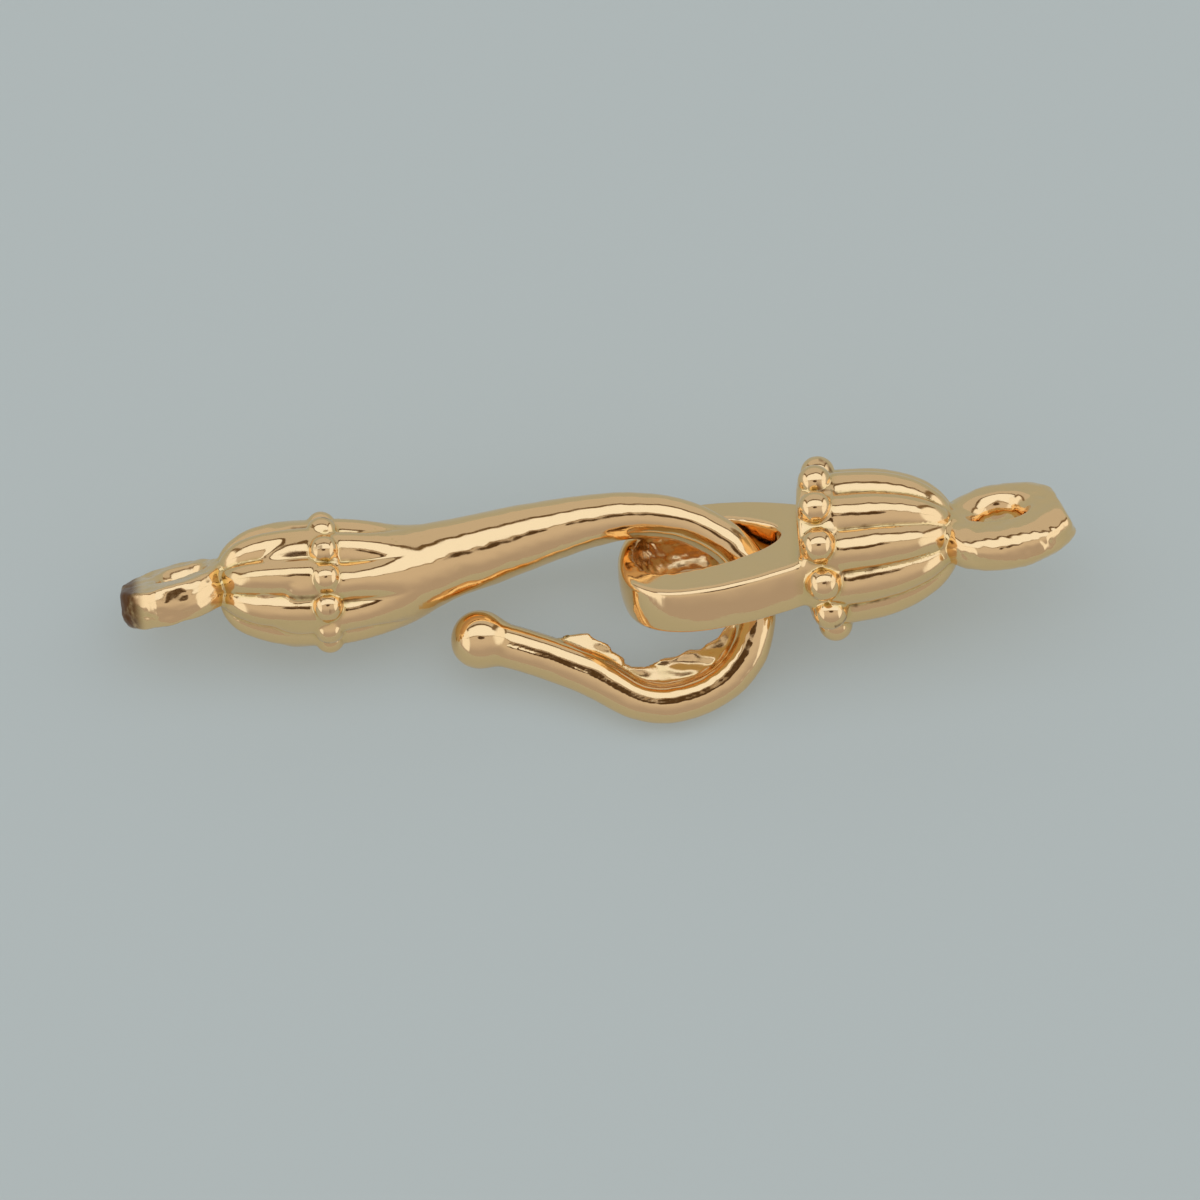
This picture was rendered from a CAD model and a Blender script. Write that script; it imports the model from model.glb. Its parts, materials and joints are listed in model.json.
import json
import math
import bpy
import numpy as np
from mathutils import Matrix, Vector


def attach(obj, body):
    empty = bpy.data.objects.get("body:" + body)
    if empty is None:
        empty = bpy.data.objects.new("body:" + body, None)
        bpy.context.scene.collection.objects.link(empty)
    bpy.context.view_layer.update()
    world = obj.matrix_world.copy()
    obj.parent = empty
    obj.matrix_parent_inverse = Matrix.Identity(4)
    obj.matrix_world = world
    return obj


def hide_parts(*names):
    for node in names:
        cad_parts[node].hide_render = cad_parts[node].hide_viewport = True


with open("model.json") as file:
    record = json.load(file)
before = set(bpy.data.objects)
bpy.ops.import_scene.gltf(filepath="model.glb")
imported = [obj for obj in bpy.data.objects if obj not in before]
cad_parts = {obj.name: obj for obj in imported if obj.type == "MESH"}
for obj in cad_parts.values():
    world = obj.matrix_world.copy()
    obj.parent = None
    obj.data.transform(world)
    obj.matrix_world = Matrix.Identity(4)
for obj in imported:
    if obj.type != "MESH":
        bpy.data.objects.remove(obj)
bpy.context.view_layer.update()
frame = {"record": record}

mm = 0.001
cell = 0.05 * mm  # side of the grid cells that the castings are meshed from
mounts = {m["name"]: m for m in frame["record"]["mounts"]}


# Plain helpers for shapes that are written as fields: below zero is metal, above zero is air
def softMin(a, b, k):
    h = np.clip(0.5 + 0.5 * (b - a) / k, 0, 1)
    return b + (a - b) * h - k * h * (1 - h)


def softMax(a, b, k):
    return -softMin(-a, -b, k)


def ease(x, low, high):
    t = np.clip((x - low) / (high - low), 0, 1)
    return t * t * (3 - 2 * t)


def turnAbout(axis, degrees):
    c, s = math.cos(math.radians(degrees)), math.sin(math.radians(degrees))
    i = "xyz".index(axis)
    j, k = (i + 1) % 3, (i + 2) % 3
    m = np.eye(3)
    m[j, j], m[j, k], m[k, j], m[k, k] = c, -s, s, c
    return m


def roundedBox2(u, v, halfU, halfV, edge):
    qu, qv = np.abs(u) - halfU + edge, np.abs(v) - halfV + edge
    return np.hypot(np.maximum(qu, 0), np.maximum(qv, 0)) + np.minimum(np.maximum(qu, qv), 0) - edge


def ripples(p, wave, seed, count=9, spread=(0.6, 1.5)):
    # sum of plane waves in chance directions, about -1.5 to 1.5
    rng = np.random.default_rng(seed)
    total = np.zeros(len(p))
    for _ in range(count):
        way = rng.normal(size=3)
        way *= 2 * math.pi / wave / np.linalg.norm(way) * rng.uniform(*spread)
        total += np.sin(p @ way + rng.uniform(0, 2 * math.pi))
    return total / math.sqrt(count)


def curveThrough(rows, steps):
    # smooth curve through every row of a table
    rows = np.array(rows, float)
    padded = np.vstack([rows[0], rows, rows[-1]])
    out = []
    for i in range(len(rows) - 1):
        a, b, c, d = padded[i:i + 4]
        for t in np.arange(steps) / steps:
            out.append(b + 0.5 * t * (c - a + t * (2 * a - 5 * b + 4 * c - d + t * (3 * (b - c) + d - a))))
    return np.array(out + [rows[-1]])


def alongPath(x, y, path):
    # station on the path and signed distance from it, positive on its left
    a, d = path[:-1], np.diff(path, axis=0)
    dd = (d ** 2).sum(1)
    rx, ry = x[:, None] - a[:, 0], y[:, None] - a[:, 1]
    t = np.clip((rx * d[:, 0] + ry * d[:, 1]) / dd, 0, 1)
    gx, gy = rx - t * d[:, 0], ry - t * d[:, 1]
    gap = gx ** 2 + gy ** 2
    i = gap.argmin(1)
    n = np.arange(len(x))
    side = np.where(d[i, 0] * ry[n, i] >= d[i, 1] * rx[n, i], 1.0, -1.0)
    return i + t[n, i], side * np.sqrt(gap[n, i])


def lobeGrooves(v, angle, turn):
    # share of the groove, 0 on top of a lobe and 1 at the bottom, and how deep the surface sinks there
    share = 1 - np.sqrt(np.sin(v["lobes"] * (angle - math.radians(turn)) / 2) ** 2 + v["grooveSharp"] ** 2)
    return share, v["grooveDepth"] * share + v["grooveCut"] * share ** v["cutPower"]


def grooveFade(x, v):
    # grooves run out towards the round end
    return np.clip(1 - (np.abs(x) / v["length"]) ** v["powers"][0], 0, 1) ** v["fadePower"]


def domeField(x, r, v, least=1e-3, leastSlope=0.6):
    # round-ended body of revolution, as a near distance
    powX, powR = v["powers"]
    along, out = np.abs(x) / v["length"], r / v["radius"]
    g = along ** powX + out ** powR - 1
    gx = powX * np.maximum(along, least) ** (powX - 1) / v["length"]
    gr = powR * np.maximum(out, least) ** (powR - 1) / v["radius"]
    return g / np.maximum(np.hypot(gx, gr), leastSlope / v["radius"])


def collarField(p, c):
    # row of beads on a plain band, round the X axis
    angle = np.arctan2(p[:, 1], p[:, 2])
    r = np.hypot(p[:, 1], p[:, 2])
    step = 2 * math.pi / c["beads"]
    off = (angle + math.radians(c["beadTurn"]) + step / 2) % step - step / 2
    x = p[:, 0] + c["back"]
    beads = np.sqrt(x ** 2 + r ** 2 + c["circle"] ** 2 - 2 * r * c["circle"] * np.cos(off)) - c["bead"] / 2
    band = roundedBox2(x, r, c["bandWide"] / 2, c["bandRadius"], c["bandEdge"])
    return softMin(beads, band, c["fillet"])


# What both rings share: the waves of their dents, and where the funnel stops opening
ringCommon = dict(
    longWave=0.6 * mm, shortWave=0.25 * mm, shortShare=0.4, leastRadius=0.1 * mm, flareLimit=1.3,
)


def ringField(p, g):
    # disc with a barrel-shaped rim, a clipped end and a bore that opens into a funnel on both faces
    c = ringCommon
    q = (p - g["centre"]) @ g["turn"]
    high = q[:, 2] / (g["wide"] / 2)
    rim = np.hypot(q[:, 0] / g["stretch"], q[:, 1]) + g["barrel"] * high ** 2
    disc = roundedBox2(rim, q[:, 2], g["outer"] / 2, g["wide"] / 2, g["edge"])
    fromBore = np.hypot(q[:, 0] - g["shift"], q[:, 1])
    far = q[:, 1] / np.maximum(fromBore, c["leastRadius"])
    sideFlare = np.where(far > 0, g["flareFar"], g["flareNear"])
    flare = g["flareEnd"] + (sideFlare - g["flareEnd"]) * far ** 2
    mouth = g["bore"] / 2 + flare * np.minimum(np.abs(high), c["flareLimit"]) ** g["flarePower"]
    clip = (q - g["clipAt"]) @ g["clipWay"]
    shape = softMax(softMax(disc, clip, g["clipEdge"]), mouth - fromBore, g["lip"])
    small = c["shortShare"] * ripples(p, c["shortWave"], g["seed"] + 1)
    dents = ripples(p, c["longWave"], g["seed"]) + small
    return shape + g["dent"] * dents


castWaves = dict(ripple=0.9 * mm, polish=0.32 * mm, seedStep=24)


def castSurface(p, v, polishShare=1.0):
    # the cast metal is never quite even: long ripples, and short ones left by polishing
    long = v["ripple"] * ripples(p, castWaves["ripple"], v["seed"])
    short = v["polish"] * polishShare * ripples(p, castWaves["polish"], v["seed"] + castWaves["seedStep"])
    return long + short


# Mesh from a field: one vertex in each cell that the surface crosses, then settled on the surface
chunk = 16000  # points worked out at a time
tiny = 1e-12  # keeps a division safe


def evaluate(field, points):
    return np.concatenate([field(points[i:i + chunk]) for i in range(0, len(points), chunk)])


def partsAt(parts, points):
    answers = [parts(points[i:i + chunk]) for i in range(0, len(points), chunk)]
    return [np.concatenate(a) for a in zip(*answers)]


def sampleField(field, low, counts, block=4, margin=1.3):
    # coarse blocks first, then each cell near the surface
    blocks = -(-counts // block)
    at = [low[i] + cell * (block * (np.arange(blocks[i]) + 0.5) - 0.5) for i in range(3)]
    coarse = evaluate(field, np.stack(np.meshgrid(*at, indexing="ij"), -1).reshape(-1, 3)).reshape(blocks)
    for axis in range(3):
        coarse = np.repeat(coarse, block, axis)
    values = coarse[:counts[0], :counts[1], :counts[2]].copy()
    near = np.argwhere(np.abs(values) < cell * block * margin)
    values[tuple(near.T)] = evaluate(field, low + cell * near)
    return values


def netSurface(values, low):
    inside = values < 0
    hits = np.zeros([n - 1 for n in inside.shape], np.int8)
    for dx in (0, 1):
        for dy in (0, 1):
            for dz in (0, 1):
                hits += inside[dx:dx + hits.shape[0], dy:dy + hits.shape[1], dz:dz + hits.shape[2]]
    cells = np.argwhere((hits > 0) & (hits < 8))
    index = -np.ones(hits.shape, int)
    index[tuple(cells.T)] = np.arange(len(cells))
    quads = []
    for axis in range(3):
        u, v = (axis + 1) % 3, (axis + 2) % 3
        here = np.moveaxis(inside, (axis, u, v), (0, 1, 2))
        ids = np.moveaxis(index, (axis, u, v), (0, 1, 2))
        for flip, edge in ((False, here[:-1] & ~here[1:]), (True, ~here[:-1] & here[1:])):
            i, j, k = np.argwhere(edge[:, 1:-1, 1:-1]).T
            quad = np.stack([ids[i, j, k], ids[i, j + 1, k], ids[i, j + 1, k + 1], ids[i, j, k + 1]], 1)
            quads.append(quad[:, ::-1] if flip else quad)
    return low + cell * (cells + 0.5), np.concatenate(quads)


def slope(field, points, step):
    here = evaluate(field, points)
    way = np.stack([evaluate(field, points + step * np.eye(3)[i]) - here for i in range(3)], 1) / step
    return here, way


settleValues = dict(rounds=4, evening=0.6, probe=0.02, leastSlope=0.05, longest=0.5)  # lengths in cells


def settle(field, points, quads):
    # even the mesh out and pull it onto the surface in turn, ending on the surface
    s = settleValues
    count = len(points)
    pairs = np.concatenate([quads[:, [i, (i + 1) % 4]] for i in range(4)])
    joined = np.bincount(pairs[:, 0], minlength=count) + np.bincount(pairs[:, 1], minlength=count)
    for turn in range(s["rounds"]):
        if turn < s["rounds"] - 1:
            total = np.stack([
                np.bincount(pairs[:, 0], points[pairs[:, 1], i], count)
                + np.bincount(pairs[:, 1], points[pairs[:, 0], i], count)
                for i in range(3)], 1)
            points = (1 - s["evening"]) * points + s["evening"] * total / joined[:, None]
        here, way = slope(field, points, s["probe"] * cell)
        move = way * (here / np.maximum((way ** 2).sum(1), s["leastSlope"]))[:, None]
        long = np.linalg.norm(move, axis=1, keepdims=True)
        points = points - move * np.minimum(1, s["longest"] * cell / np.maximum(long, tiny))
    return points, way / np.maximum(np.linalg.norm(way, axis=1, keepdims=True), tiny)


def castingMesh(name, field, low, high, place, masks):
    counts = np.ceil((high - low) / cell).astype(int) + 1
    points, quads = netSurface(sampleField(field, low, counts), low)
    points, normals = settle(field, points, quads)
    turn, shift = place
    mesh = bpy.data.meshes.new(name)
    mesh.from_pydata((points @ turn.T + shift).tolist(), [], quads.tolist())
    mesh.validate()
    mesh.polygons.foreach_set("use_smooth", [True] * len(mesh.polygons))
    for maskName, values in masks(points, normals).items():
        mesh.attributes.new(maskName, "FLOAT", "POINT").data.foreach_set("value", values.astype(np.float32))
    piece = bpy.data.objects.new(name, mesh)
    bpy.context.scene.collection.objects.link(piece)
    print(name, "made,", len(points), "points,", len(quads) * 2, "triangles")
    return piece


def placeByMount(mountName, turn, borePoint):
    return turn, np.array(mounts[mountName]["pos_m"]) - turn @ borePoint


def recessMask(field, points, normals, reach=0.14 * mm):
    # 1 where metal stands right in front of the surface
    return np.clip(1 - evaluate(field, points + normals * reach) / reach, 0, 1)


# The hook, along its own X axis with its collar at zero
hookValues = dict(
    length=2.52 * mm, radius=1.49 * mm, powers=(2.6, 3.0), fadePower=0.33, lean=0.13 * mm,
    lobes=8, grooveTurn=21, capTurn=9, grooveDepth=0.26 * mm, grooveSharp=0.05,
    grooveCut=0.03 * mm, cutPower=8,  # thin cut along the bottom of each groove
    stemRadius=1.46 * mm, wireRadius=0.475 * mm, fluteStart=0.5 * mm, fluteEnd=2.2 * mm,
    reach=9.95 * mm, drop=3.44 * mm, ballRadius=0.69 * mm,
    squareFrom=14.6, squareTo=16.2,  # rows of the table over which the wire turns squarer
    square=2.36, squareShare=0.98,  # power of its cross-section, 2 is round, and share of its size
    roll=19.48, ripple=0.005 * mm, polish=0.0016 * mm, seed=7,
)
hookCollar = dict(
    beads=12, beadTurn=-4, bead=0.71 * mm, circle=1.305 * mm, fillet=0.04 * mm, back=0,
    bandWide=0.7 * mm, bandRadius=1.36 * mm, bandEdge=0.14 * mm,
)
hookRows = [  # share of the reach, share of the drop, how far the wire has swelled to the stem
    (-0.060, 0.000, 1.000), (0.000, 0.000, 1.000), (0.040, 0.000, 1.000), (0.115, 0.004, 0.880),
    (0.175, 0.018, 0.730), (0.240, 0.055, 0.545), (0.300, 0.095, 0.445), (0.360, 0.126, 0.405),
    (0.475, 0.195, 0.310), (0.600, 0.258, 0.175), (0.720, 0.284, 0.080), (0.835, 0.232, 0.025),
    (0.925, 0.096, 0.000), (0.975, -0.050, 0.000), (0.998, -0.210, 0.000), (0.999, -0.480, 0.000),
    (0.968, -0.730, 0.000), (0.900, -0.910, 0.000), (0.800, -1.000, 0.000), (0.710, -0.962, 0.010),
    (0.610, -0.780, 0.030), (0.500, -0.625, 0.035), (0.415, -0.530, 0.030), (0.352, -0.472, 0.030),
]
rowSteps = 7
hookCurve = curveThrough(hookRows, rowSteps)
hookPath = hookCurve[:, :2] * [hookValues["reach"], hookValues["drop"]]
hookSwell = np.clip(hookCurve[:, 2], 0, 1)

finValues = dict(
    height=0.55 * mm, root=0.7, thick=0.17 * mm, taper=0.1 * mm, sink=0.14 * mm, edge=0.04 * mm,
    least=0.02 * mm, wave=0.5 * mm, ragged=0.12, raggedSeed=3,
    rough=0.026 * mm, roughSeed=21, roughReach=0.4 * mm,
)
finRows = [  # row of the hook's table, share of the fin's height
    (14.8, 0.00), (15.3, 0.30), (15.7, 0.50), (16.0, 0.62), (16.4, 0.80), (16.8, 0.84),
    (17.2, 0.98), (17.7, 1.02), (18.2, 1.04), (18.6, 1.00), (18.95, 0.84), (19.2, 0.44),
    (19.4, 0.18), (19.7, 0.16), (19.85, 0.36), (20.05, 0.60), (20.3, 0.74), (20.6, 0.52),
    (20.8, 0.34), (21.0, 0.00),
]
finCurve = np.array(finRows)

hookRing = dict(
    outer=2.65 * mm, wide=0.9 * mm, edge=0.07 * mm, barrel=0.12 * mm, stretch=1.0, sink=0.3 * mm,
    bore=1.0 * mm, shift=0.28 * mm, lip=0.05 * mm,
    flareEnd=0.14 * mm, flareFar=0.2 * mm, flareNear=0.03 * mm, flarePower=2.5,
    clip=0.15 * mm, clipTurn=-16, clipEdge=0.05 * mm, dent=0.013 * mm, seed=4,
    slope=12, twist=12, lift=0.22 * mm,
)
slopeTurn = turnAbout("z", hookRing["slope"])
hookRing["turn"] = slopeTurn @ turnAbout("x", hookRing["twist"] - 90)
hookRing["centre"] = np.array([-hookValues["length"], hookRing["lift"], 0]) + slopeTurn @ np.array(
    [hookRing["sink"] - hookRing["outer"] / 2, 0, 0])
hookRing["clipWay"] = turnAbout("z", hookRing["clipTurn"]) @ np.array([-1.0, 0, 0])
hookRing["clipAt"] = hookRing["clipWay"] * (hookRing["outer"] / 2 - hookRing["clip"])

hookFillets = dict(
    seam=0.05 * mm, wire=0.06 * mm, fin=0.07 * mm, ball=0.16 * mm, collar=0.05 * mm, ring=0.12 * mm,
)
hookMarks = dict(
    finShare=0.7, finDeep=0.08 * mm, finClear=0.02 * mm, ringShare=0.35, ringDeep=0.1 * mm,  # left as cast
    stainStart=0.3 * mm, stainEnd=0.62 * mm, facingFrom=-0.1, facingTo=0.4,  # dark on the clipped end
)


def finField(p, row, left, z):
    # thin ragged web that stands on the inner side of the bend
    f = finValues
    row = row + f["ragged"] * ripples(p, f["wave"], f["raggedSeed"])
    tall = np.interp(row, finCurve[:, 0], finCurve[:, 1], 0, 0) * f["height"]
    up = -left - hookValues["wireRadius"] * f["root"]
    thick = f["thick"] - f["taper"] * np.clip(up / f["height"], 0, 1)
    web = roundedBox2(up - tall / 2, z, tall / 2 + f["sink"], thick, f["edge"])
    web = web + np.where(tall < f["least"], mm, 0)  # no web where the table says zero
    return web + f["rough"] * ripples(p, f["wave"], f["roughSeed"]) * (np.abs(web) < f["roughReach"])


def hookParts(p):
    h = hookValues
    x, y, z = p.T
    capY = y - h["lean"] * np.clip(-x / h["length"], 0, 1)
    groove, cut = lobeGrooves(h, np.arctan2(capY, z), h["grooveTurn"] + h["capTurn"])
    capFade = grooveFade(x, h)
    cap = softMax(domeField(x, np.hypot(capY, z) + cut * capFade, h), x, hookFillets["seam"])
    station, left = alongPath(x, y, hookPath)
    row = station / rowSteps
    swell = np.interp(station, np.arange(len(hookSwell)), hookSwell)
    radius = h["wireRadius"] + swell * (h["stemRadius"] - h["wireRadius"])
    stemGroove, stemCut = lobeGrooves(h, np.arctan2(left, z), h["grooveTurn"])
    stemFade = (1 - ease(x, h["fluteStart"], h["fluteEnd"])) * (row < len(hookRows) / 2)
    radius = radius - stemCut * stemFade
    power = 2 + (h["square"] - 2) * ease(row, h["squareFrom"], h["squareTo"])  # squarer towards the fin
    power = np.where((left < 0) & (z > 0), power, 2)
    across = (np.abs(left) ** power + np.abs(z) ** power) ** (1 / power)
    wire = across - radius * (1 - (1 - h["squareShare"]) * (power - 2) / (h["square"] - 2))
    fin = finField(p, row, left, z)
    ball = np.linalg.norm(p - np.array([*hookPath[-1], 0]), axis=1) - h["ballRadius"]
    return cap, wire, fin, ball, groove * capFade * (x < 0) + stemGroove * stemFade * (x >= 0)


def hookField(p):
    cap, wire, fin, ball, _ = hookParts(p)
    collar, ring = collarField(p, hookCollar), ringField(p, hookRing)
    parts = dict(wire=wire, fin=fin, ball=ball, collar=collar, ring=ring)
    shape = cap
    for name, part in parts.items():
        shape = softMin(shape, part, hookFillets[name])
    return shape + castSurface(p, hookValues)


def hookMasks(points, normals):
    m = hookMarks
    _, wire, fin, _, groove = partsAt(hookParts, points)
    ring = ringField(points, hookRing)
    finSkin = m["finShare"] * ease(-fin, -m["finDeep"], m["finClear"]) * (wire > m["finClear"])
    ringSkin = m["ringShare"] * ease(-ring, -m["ringDeep"], 0)
    fromEnd = points[:, 0] - hookRing["centre"][0] + hookRing["outer"] / 2
    facing = ease(normals @ hookRing["clipWay"], m["facingFrom"], m["facingTo"])
    stain = (1 - ease(fromEnd, m["stainStart"], m["stainEnd"])) * facing
    return {"recess": recessMask(hookField, points, normals), "castSkin": np.maximum(finSkin, ringSkin),
            "groove": np.clip(groove, 0, 1), "stain": stain}


hookBore = hookRing["centre"] + hookRing["turn"] @ np.array([hookRing["shift"], 0, 0])
hookPlace = placeByMount("hook_ring_bore", turnAbout("x", hookValues["roll"]), hookBore)
hookLow, hookHigh = np.array([-5.0, -4.3, -1.9]) * mm, np.array([10.7, 1.95, 1.9]) * mm
hook = castingMesh("clasp_hook", hookField, hookLow, hookHigh, hookPlace, hookMasks)
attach(hook, "root")
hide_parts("hook")

# The eye, along its own X axis with its collar at zero and its loop towards minus X
eyeValues = dict(
    length=3.1 * mm, radius=1.84 * mm, powers=(2.55, 2.2), fadePower=0.45,
    lobes=10, grooveTurn=25, grooveDepth=0.215 * mm, grooveSharp=0.05, grooveCut=0.035 * mm, cutPower=8,
    roll=41, pitch=8.8, yaw=-0.5, ripple=0.005 * mm, polish=0.0016 * mm, loopPolish=0.4, seed=8,
)
loopValues = dict(
    openingStart=1.08 * mm, openingLength=3.45 * mm, openingRadius=1.26 * mm, openingNear=0.8, blunt=0.25,
    sideWall=0.97 * mm, endWall=0.44 * mm, front=0.16 * mm, inset=0.9 * mm, near=0.86,
    height=1.14 * mm, edge=0.13 * mm, crown=0.09 * mm,
    draft=0.62 * mm, draftStart=2.35 * mm, draftEnd=3.0 * mm,  # slant of the wall inside the far end
    draftLow=(-0.3, 0.5), draftSide=(-0.2 * mm, 0.7 * mm),  # shares of the height, places across the loop
    rough=0.008 * mm, roughFrom=1.4 * mm, roughTo=2.6 * mm, roughDeep=0.2 * mm, roughNear=0.05 * mm,
    roughWave=0.35 * mm, roughSeed=5, fineWave=0.18 * mm, fineShare=0.8, fineSeed=6,
    markDeep=0.16 * mm, markNear=0.06 * mm, markHalf=0.56 * mm, stain=0.06,  # the wall left as cast
)
eyeCollar = dict(
    beads=12, beadTurn=-2, bead=0.8 * mm, circle=1.77 * mm, fillet=0.05 * mm, back=0.06 * mm,
    bandWide=0.95 * mm, bandRadius=1.76 * mm, bandEdge=0.2 * mm,
)
eyeRing = dict(
    outer=3.06 * mm, wide=1.0 * mm, edge=0.36 * mm, barrel=0.12 * mm, stretch=1.12, sink=0.3 * mm,
    bore=1.0 * mm, shift=-0.1 * mm, lip=0.05 * mm,
    flareEnd=0.34 * mm, flareFar=0.24 * mm, flareNear=0.03 * mm, flarePower=2.5,
    clip=0.14 * mm, clipTurn=16, clipLean=-18, clipEdge=0.05 * mm, dent=0.009 * mm, seed=9,
    turn=np.eye(3),
)
eyeRing["centre"] = np.array([eyeValues["length"] - eyeRing["sink"]
                              + eyeRing["outer"] * (1 - eyeRing["stretch"] / 2), 0, 0])
eyeRing["clipWay"] = turnAbout("z", eyeRing["clipTurn"]) @ turnAbout("y", eyeRing["clipLean"])
eyeRing["clipWay"] = eyeRing["clipWay"] @ np.array([1.0, 0, 0])
eyeRing["clipAt"] = eyeRing["clipWay"] * (eyeRing["outer"] / 2 - eyeRing["clip"])

eyeFillets = dict(seam=0.05 * mm, collar=0.05 * mm, loop=0.2 * mm, ring=0.12 * mm)


def eggOutline(start, end, radius, near, blunt, count=120):
    a = np.linspace(0, 2 * math.pi, count + 1)
    wide = radius * (1 + (near - 1) * ((1 + np.cos(a)) / 2) ** 2)
    x = -(start + end) / 2 + (end - start) / 2 * (np.cos(a) - blunt * np.sin(a) ** 2)
    return np.stack([x, wide * np.sin(a)], 1)


def loopOutlines(v):
    end = v["openingStart"] + v["openingLength"]
    inner = eggOutline(v["openingStart"], end, v["openingRadius"], v["openingNear"], v["blunt"])
    outerRadius = v["openingRadius"] + v["sideWall"]
    outer = eggOutline(-v["inset"], end + v["endWall"], outerRadius, v["near"], v["blunt"])
    return inner, outer - [0, v["front"]]


openingOutline, loopOutline = loopOutlines(loopValues)


def eyeParts(p):
    e, v = eyeValues, loopValues
    x, y, z = p.T
    groove, cut = lobeGrooves(e, np.arctan2(y, z), e["grooveTurn"])
    fade = grooveFade(x, e)
    dome = softMax(domeField(x, np.hypot(y, z) + cut * fade, e), -x, eyeFillets["seam"])
    outer = -alongPath(x, y, loopOutline)[1] + v["crown"] * (2 * z / v["height"]) ** 2
    inner = -alongPath(x, y, openingOutline)[1]
    lowFrom, lowTo = v["draftLow"]
    low = ease(-z, lowFrom * v["height"], lowTo * v["height"]) * ease(y, *v["draftSide"])
    inner = inner + v["draft"] * low * ease(-x, v["draftStart"], v["draftEnd"])
    qu = np.maximum(outer, -inner) + v["edge"]
    qv = np.abs(z) - v["height"] / 2 + v["edge"]
    loop = np.hypot(np.maximum(qu, 0), np.maximum(qv, 0)) + np.minimum(np.maximum(qu, qv), 0) - v["edge"]
    return dome, loop, inner, groove * fade * (x > 0)


def eyeField(p):
    v = loopValues
    dome, loop, inner, _ = eyeParts(p)
    rough = ease(-np.abs(inner), -v["roughDeep"], -v["roughNear"])
    rough = rough * ease(-p[:, 0], v["roughFrom"], v["roughTo"])
    fine = v["fineShare"] * ripples(p, v["fineWave"], v["fineSeed"])
    loop = loop + rough * v["rough"] * (ripples(p, v["roughWave"], v["roughSeed"]) + fine)
    shape = dome
    for name, part in dict(collar=collarField(p, eyeCollar), loop=loop, ring=ringField(p, eyeRing)).items():
        shape = softMin(shape, part, eyeFillets[name])
    return shape + castSurface(p, eyeValues, np.where(p[:, 0] < 0, eyeValues["loopPolish"], 1))


def eyeMasks(points, normals):
    v = loopValues
    _, _, inner, groove = partsAt(eyeParts, points)
    rough = ease(-np.abs(inner), -v["markDeep"], -v["markNear"]) * (np.abs(points[:, 2]) < v["markHalf"])
    rough = rough * ease(-points[:, 0], v["roughFrom"], v["roughTo"])
    return {"recess": recessMask(eyeField, points, normals), "castSkin": rough,
            "groove": np.clip(groove, 0, 1), "stain": v["stain"] * rough}


eyeTurn = turnAbout("z", eyeValues["yaw"]) @ turnAbout("y", -eyeValues["pitch"])
eyeTurn = eyeTurn @ turnAbout("x", -eyeValues["roll"])
eyePlace = placeByMount("eye_ring_bore", eyeTurn, eyeRing["centre"] + np.array([eyeRing["shift"], 0, 0]))
eyeLow, eyeHigh = np.array([-5.2, -2.5, -2.5]) * mm, np.array([6.1, 2.5, 2.5]) * mm
eye = castingMesh("clasp_eye", eyeField, eyeLow, eyeHigh, eyePlace, eyeMasks)
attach(eye, "root")
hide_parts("eye")

# Shader node helpers
floatKind, colourKind, vectorKind = "NodeSocketFloat", "NodeSocketColor", "NodeSocketVector"


def newGroup(name, inputs, outputs):
    tree = bpy.data.node_groups.new(name, "ShaderNodeTree")
    for label, kind, value in inputs:
        socket = tree.interface.new_socket(name=label, in_out="INPUT", socket_type=kind)
        if value is not None:
            socket.default_value = value
    for label, kind in outputs:
        tree.interface.new_socket(name=label, in_out="OUTPUT", socket_type=kind)
    return tree, tree.nodes.new("NodeGroupInput").outputs, tree.nodes.new("NodeGroupOutput").inputs


def feed(tree, socket, source):
    if isinstance(source, (int, float, tuple)):
        socket.default_value = source
    elif source is not None:
        tree.links.new(source, socket)


def mathNode(tree, operation, a, b=None, c=None, clamp=False):
    node = tree.nodes.new("ShaderNodeMath")
    node.operation = operation
    node.use_clamp = clamp
    for socket, source in zip(node.inputs, (a, b, c)):
        feed(tree, socket, source)
    return node.outputs[0]


def noiseNode(tree, point, scale, detail, rough):
    node = tree.nodes.new("ShaderNodeTexNoise")
    feed(tree, node.inputs["Vector"], point)
    feed(tree, node.inputs["Scale"], scale)
    feed(tree, node.inputs["Detail"], detail)
    feed(tree, node.inputs["Roughness"], rough)
    return node.outputs["Fac"]


def rangeNode(tree, value, fromMin, fromMax, toMin=0.0, toMax=1.0):
    node = tree.nodes.new("ShaderNodeMapRange")
    node.interpolation_type = "SMOOTHSTEP"
    for socket, source in zip(node.inputs, (value, fromMin, fromMax, toMin, toMax)):
        feed(tree, socket, source)
    return node.outputs[0]


def mixColour(tree, share, a, b):
    node = tree.nodes.new("ShaderNodeMix")
    node.data_type = "RGBA"
    feed(tree, node.inputs[0], share)
    feed(tree, node.inputs[6], a)
    feed(tree, node.inputs[7], b)
    return node.outputs[2]


# Polished plating: soft ripples, fine pits, and a rougher skin where the casting was left as it came
polishValues = dict(skinDepth=1.6, finePits=3.1, fineDepth=0.08, pitFrom=0.35, pitTo=0.75,
                    brightest=0.055, dullest=0.14, skinDull=0.12)


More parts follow.
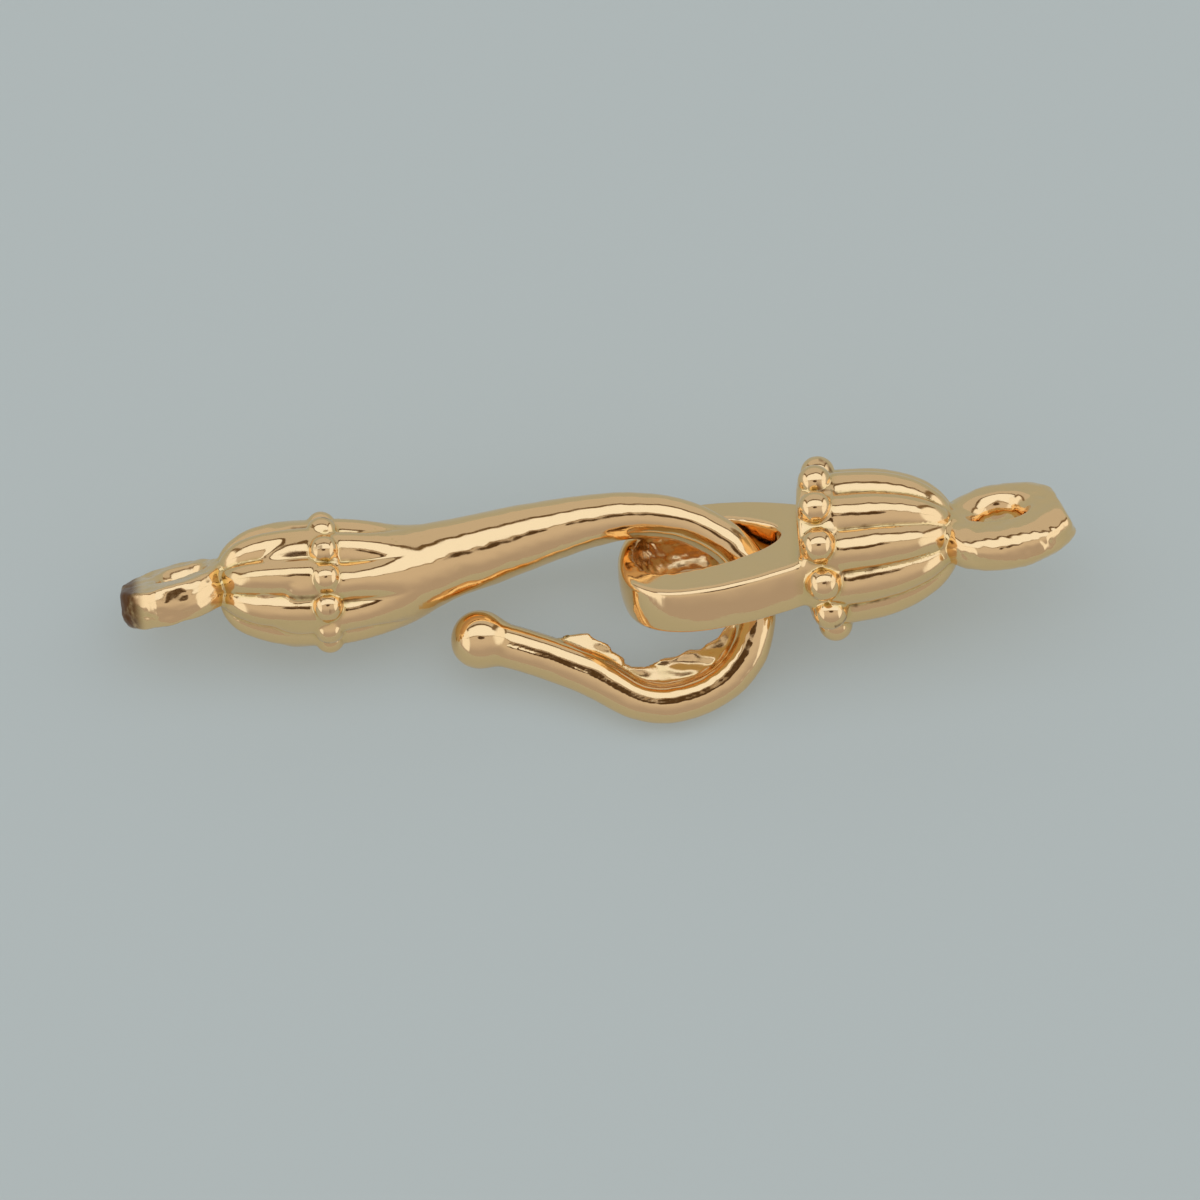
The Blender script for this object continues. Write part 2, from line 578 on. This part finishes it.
def makePolishGroup(v):
    tree, given, out = newGroup(
        "plating_polish",
        [("Point", vectorKind, None), ("Cast Skin", floatKind, 0.0), ("Ripple Scale", floatKind, 900.0),
         ("Pit Scale", floatKind, 4200.0), ("Pit Depth", floatKind, 0.4)],
        [("Roughness", floatKind), ("Height", floatKind)])
    ripple = noiseNode(tree, given["Point"], given["Ripple Scale"], detail=2.0, rough=0.5)
    pits = noiseNode(tree, given["Point"], given["Pit Scale"], detail=4.0, rough=0.6)
    fineScale = mathNode(tree, "MULTIPLY", given["Pit Scale"], v["finePits"])
    fine = noiseNode(tree, given["Point"], fineScale, detail=3.0, rough=0.6)
    depth = mathNode(tree, "MULTIPLY_ADD", given["Cast Skin"], v["skinDepth"], given["Pit Depth"])
    height = mathNode(tree, "ADD", ripple, mathNode(tree, "MULTIPLY", pits, depth))
    feed(tree, out["Height"], mathNode(tree, "MULTIPLY_ADD", fine, v["fineDepth"], height))
    gloss = rangeNode(tree, pits, v["pitFrom"], v["pitTo"], v["brightest"], v["dullest"])
    feed(tree, out["Roughness"], mathNode(tree, "MULTIPLY_ADD", given["Cast Skin"], v["skinDull"], gloss))
    return tree


# Tarnish: a thin line along the grooves, dirt in the creases, and blots where the stain mask asks for them
tarnishValues = dict(patchScale=2600.0, patchShare=0.7, lineFrom=1.15, lineTo=1.4,
                     creasePatch=0.5, creaseFrom=0.7, creaseTo=1.3, creaseShare=0.75,
                     blotFrom=0.1, blotTo=0.5)


def makeTarnishGroup(v):
    tree, given, out = newGroup(
        "groove_tarnish",
        [("Point", vectorKind, None), ("Recess", floatKind, 0.0), ("Groove", floatKind, 0.0),
         ("Gold", colourKind, (0.9, 0.6, 0.3, 1)), ("Deep Gold", colourKind, (0.7, 0.4, 0.1, 1)),
         ("Tarnish", colourKind, (0.1, 0.04, 0.01, 1)), ("Amount", floatKind, 0.6),
         ("Stain", floatKind, 0.0)],
        [("Color", colourKind), ("Mask", floatKind)])
    patch = noiseNode(tree, given["Point"], v["patchScale"], detail=3.0, rough=0.6)
    bite = mathNode(tree, "MULTIPLY_ADD", patch, v["patchShare"], given["Groove"])
    line = mathNode(tree, "MULTIPLY", rangeNode(tree, bite, v["lineFrom"], v["lineTo"]), given["Amount"])
    dirt = mathNode(tree, "MULTIPLY_ADD", patch, v["creasePatch"], given["Recess"])
    crease = rangeNode(tree, dirt, v["creaseFrom"], v["creaseTo"])
    crease = mathNode(tree, "MULTIPLY", crease, given["Amount"])
    line = mathNode(tree, "MAXIMUM", line, mathNode(tree, "MULTIPLY", crease, v["creaseShare"]))
    blot = mathNode(tree, "MULTIPLY", given["Stain"], rangeNode(tree, patch, v["blotFrom"], v["blotTo"]))
    mask = mathNode(tree, "MAXIMUM", line, blot, clamp=True)
    warm = mixColour(tree, given["Recess"], given["Gold"], given["Deep Gold"])
    feed(tree, out["Color"], mixColour(tree, mask, warm, given["Tarnish"]))
    feed(tree, out["Mask"], mask)
    return tree


polishGroup = makePolishGroup(polishValues)
tarnishGroup = makeTarnishGroup(tarnishValues)
goldValues = {
    "Gold": (0.95, 0.652, 0.322, 1), "Deep Gold": (0.75, 0.56, 0.2, 1), "Tarnish": (0.17, 0.06, 0.012, 1),
    "Amount": 0.7, "Ripple Scale": 900.0, "Pit Scale": 4200.0, "Pit Depth": 0.25,
    "bumpDistance": 0.0035 * mm, "tarnishDull": 0.2,
}


def placeGroup(tree, group, sources, values):
    node = tree.nodes.new("ShaderNodeGroup")
    node.node_tree = group
    for label, source in sources.items():
        feed(tree, node.inputs[label], source)
    for socket in node.inputs:
        if socket.name in values:
            socket.default_value = values[socket.name]
    return node.outputs


def goldMaterial(name, values):
    material = bpy.data.materials.new(name)
    material.use_nodes = True
    tree = material.node_tree
    shader = tree.nodes["Principled BSDF"]
    shader.inputs["Metallic"].default_value = 1.0
    point = tree.nodes.new("ShaderNodeTexCoord").outputs["Object"]
    masks = {}
    for label in ("recess", "castSkin", "groove", "stain"):
        node = tree.nodes.new("ShaderNodeAttribute")
        node.attribute_name = label
        masks[label] = node.outputs["Fac"]
    polish = placeGroup(tree, polishGroup, {"Point": point, "Cast Skin": masks["castSkin"]}, values)
    marks = {"Point": point, "Recess": masks["recess"], "Groove": masks["groove"], "Stain": masks["stain"]}
    tarnish = placeGroup(tree, tarnishGroup, marks, values)
    feed(tree, shader.inputs["Base Color"], tarnish["Color"])
    rough = mathNode(tree, "MULTIPLY_ADD", tarnish["Mask"], values["tarnishDull"], polish["Roughness"])
    feed(tree, shader.inputs["Roughness"], rough)
    bump = tree.nodes.new("ShaderNodeBump")
    bump.inputs["Strength"].default_value = 1.0
    bump.inputs["Distance"].default_value = values["bumpDistance"]
    feed(tree, bump.inputs["Height"], polish["Height"])
    feed(tree, shader.inputs["Normal"], bump.outputs["Normal"])
    return material


hook.data.materials.append(goldMaterial("hook_gold", goldValues))
eye.data.materials.append(goldMaterial("eye_gold", dict(goldValues, Amount=0.8)))
print("gold made")

# A pale table that glows a little, as if lit from all round
tableValues = dict(half=2.0, colour=(0.334, 0.352, 0.312, 1), glow=(0.182, 0.206, 0.204, 1), roughness=0.8)


def makeTable(v):
    material = bpy.data.materials.new("lit_table")
    material.use_nodes = True
    shader = material.node_tree.nodes["Principled BSDF"]
    shader.inputs["Base Color"].default_value = v["colour"]
    shader.inputs["Roughness"].default_value = v["roughness"]
    shader.inputs["Emission Color"].default_value = v["glow"]
    shader.inputs["Emission Strength"].default_value = 1.0
    half = v["half"]
    mesh = bpy.data.meshes.new("table")
    corners = [(-half, -half, 0), (half, -half, 0), (half, half, 0), (-half, half, 0)]
    mesh.from_pydata(corners, [], [(0, 1, 2, 3)])
    mesh.materials.append(material)
    sheet = bpy.data.objects.new("table", mesh)
    bpy.context.scene.collection.objects.link(sheet)


# The light tent round it, in degrees from straight up: over towards +Y, side towards either X
tentValues = dict(farColour=(0.57, 0.57, 0.6, 1), farFrom=-4, farTo=36,
                  frontColour=(0.62, 0.6, 0.62, 1), lowColour=(0.43, 0.41, 0.44, 1),
                  frontFrom=-28, frontTo=-72)
tentWall = dict(colour=(0.98, 1.05, 1.2, 1), start=47, end=80, blur=6, low=0.06, high=0.2)
tentSeam = dict(colour=(0.2, 0.15, 0.1, 1), start=43, end=50, blur=4, low=25, high=33)
tentBox = dict(colour=(0.98, 1.1, 1.34, 1), over=16, halfOver=20, halfSide=49, power=6.0, soft=0.25)
tentEdge = dict(colour=(0.14, 0.1, 0.06, 1), over=41.5, halfOver=3.6, halfSide=46, power=6.0, soft=0.5)
tentFrame = dict(colour=(0.3, 0.24, 0.18, 1), over=-5.5, halfOver=1.6, halfSide=62, power=2.0, soft=0.6)
tentLens = dict(colour=(0.08, 0.05, 0.026, 1), over=-13.5, halfOver=6.5, halfSide=14, power=2.0, soft=0.3)


def ovalMask(tree, over, side, v):
    fromMiddle = mathNode(tree, "DIVIDE", mathNode(tree, "SUBTRACT", over, v["over"]), v["halfOver"])
    u = mathNode(tree, "POWER", mathNode(tree, "ABSOLUTE", fromMiddle), v["power"])
    w = mathNode(tree, "POWER", mathNode(tree, "DIVIDE", side, v["halfSide"]), v["power"])
    return rangeNode(tree, mathNode(tree, "ADD", u, w), 1 - v["soft"], 1 + v["soft"], 1.0, 0.0)


def stripMask(tree, side, v, height):
    blur = v["blur"] / 2
    rise = rangeNode(tree, side, v["start"] - blur, v["start"] + blur)
    fall = rangeNode(tree, side, v["end"] - blur, v["end"] + blur, 1.0, 0.0)
    strip = mathNode(tree, "MULTIPLY", rise, fall)
    return mathNode(tree, "MULTIPLY", strip, rangeNode(tree, height, v["low"], v["high"]))


def makeTent(v):
    world = bpy.data.worlds.new("light_tent")
    bpy.context.scene.world = world
    world.use_nodes = True
    tree = world.node_tree
    way = tree.nodes.new("ShaderNodeSeparateXYZ")
    feed(tree, way.inputs[0], tree.nodes.new("ShaderNodeTexCoord").outputs["Generated"])
    x, y, z = way.outputs
    over = mathNode(tree, "DEGREES", mathNode(tree, "ARCTAN2", y, z))
    side = mathNode(tree, "ABSOLUTE", mathNode(tree, "DEGREES", mathNode(tree, "ARCSINE", x)))
    frontShare = rangeNode(tree, over, v["frontTo"], v["frontFrom"])
    front = mixColour(tree, frontShare, v["lowColour"], v["frontColour"])
    colour = mixColour(tree, rangeNode(tree, over, v["farFrom"], v["farTo"]), front, v["farColour"])
    for mask, part in (
            (stripMask(tree, side, tentWall, z), tentWall),
            (ovalMask(tree, over, side, tentBox), tentBox),
            (ovalMask(tree, over, side, tentEdge), tentEdge),
            (stripMask(tree, side, tentSeam, over), tentSeam),
            (ovalMask(tree, over, side, tentFrame), tentFrame),
            (ovalMask(tree, over, side, tentLens), tentLens)):
        colour = mixColour(tree, mask, colour, part["colour"])
    feed(tree, tree.nodes["Background"].inputs["Color"], colour)


makeTable(tableValues)
makeTent(tentValues)
print("table and light tent made")

cameraValues = dict(elevation=70, distance=350 * mm, sideways=-10.046 * mm, tableY=2.736 * mm,
                    frameWide=28.0 * mm, sensor=36.0, aimHeight=1.5 * mm, near=0.01, far=10)


def makeCamera(v):
    data = bpy.data.cameras.new("camera")
    camera = bpy.data.objects.new("camera", data)
    bpy.context.scene.collection.objects.link(camera)
    tilt = math.radians(v["elevation"])
    back, up = v["distance"] * math.cos(tilt), v["distance"] * math.sin(tilt)
    camera.location = (v["sideways"], v["tableY"] - back, up)
    view = Vector((0, 0, v["aimHeight"])) - camera.location
    camera.rotation_euler = view.to_track_quat("-Z", "Y").to_euler()
    data.sensor_width = v["sensor"]
    data.lens = v["sensor"] * view.length / v["frameWide"]
    data.clip_start, data.clip_end = v["near"], v["far"]
    bpy.context.scene.camera = camera


makeCamera(cameraValues)
bpy.context.scene.view_settings.view_transform = "Standard"
print("camera set")
